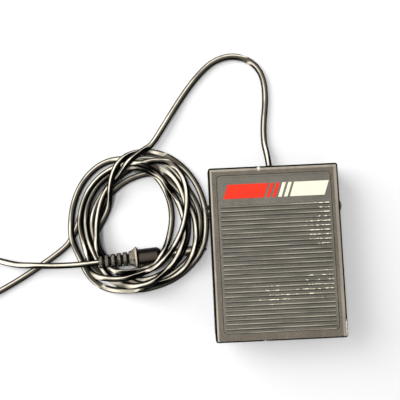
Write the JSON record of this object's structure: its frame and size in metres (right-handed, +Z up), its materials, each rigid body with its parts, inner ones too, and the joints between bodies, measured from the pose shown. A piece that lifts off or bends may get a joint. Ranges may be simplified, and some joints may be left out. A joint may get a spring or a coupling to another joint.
{
  "type": "sustain pedal",
  "caption": "Box-shaped foot switch with a ribbed rocking treadle, side pivot screws, a long thin cord in a loose coil and a straight jack plug.",
  "frame": {"origin": "on the floor, under the middle of the pedal box (the cord and plug not counted)", "axes": "+X to the right, +Y towards the end that the cord leaves, +Z up"},
  "size_m": [0.2767, 0.1875, 0.0328],
  "materials": {
    "treadle_paint": "satin black powder coat, dusty",
    "pad_rubber": "matt ribbed rubber, dusty",
    "badge_red": "printed",
    "badge_white": "printed",
    "bush_nylon": "natural nylon",
    "sole_rubber": "matt",
    "base_plastic": "fine texture",
    "screw_steel": "black oxide",
    "zinc_steel": "zinc plated",
    "switch_plastic": "moulded",
    "plunger_plastic": "moulded",
    "terminal_brass": "tinned",
    "wire_red": "insulation",
    "wire_black": "insulation",
    "cord_jacket": "soft glossy jacket",
    "plug_plastic": "moulded, dusty",
    "plug_nickel": "nickel plated",
    "insulator_plastic": "moulded"
  },
  "bodies": {
    "base": {"base_sole": "sole_rubber", "base_tray": "base_plastic", "front_stop_pads": "sole_rubber", "rear_stop_pads": "sole_rubber", "pivot_screws": "screw_steel", "pivot_washers": "bush_nylon", "pivot_nuts": "zinc_steel", "return_spring": "zinc_steel", "switch_case": "switch_plastic", "switch_terminals": "terminal_brass", "switch_screws": "zinc_steel", "wire_red": "wire_red", "wire_black": "wire_black", "cable_grommet": "sole_rubber", "cord_inner": "cord_jacket", "cord_clamp": "base_plastic", "clamp_screws": "zinc_steel", "cord_lead": "cord_jacket", "cord_coil": "cord_jacket", "cord_tail": "cord_jacket", "cord_in_plug": "cord_jacket", "plug_boot": "plug_plastic", "plug_collar": "plug_plastic", "plug_handle": "plug_plastic", "plug_sleeve": "plug_nickel", "plug_insulator": "insulator_plastic", "plug_tip": "plug_nickel"},
    "treadle": {"treadle_shell": "treadle_paint", "tread_pad": "pad_rubber", "badge_red": "badge_red", "badge_white": "badge_white", "pivot_bushes": "bush_nylon", "spring_cup": "bush_nylon", "actuator_tip": "bush_nylon"},
    "plunger": {"switch_plunger": "plunger_plastic"}
  },
  "joints": [
    {"name": "treadle_hinge", "type": "hinge", "parent": "base", "child": "treadle", "pos_m": [0, 0.0276, 0.0185], "axis": [1, 0, 0], "range_deg": [0, 4], "stiffness_Nm_per_rad": 1.2, "springref_deg": -20.05, "deforming": ["return_spring"]},
    {"name": "plunger_slide", "type": "slide", "parent": "base", "child": "plunger", "axis": [0, 0, -1], "range_m": [0, 0.0015], "stiffness_N_per_m": 60, "springref_m": -0.004}
  ],
  "couplings": [
    {"joint": "plunger_slide", "follows": "treadle_hinge", "m_per_rad": 0.02}
  ]
}
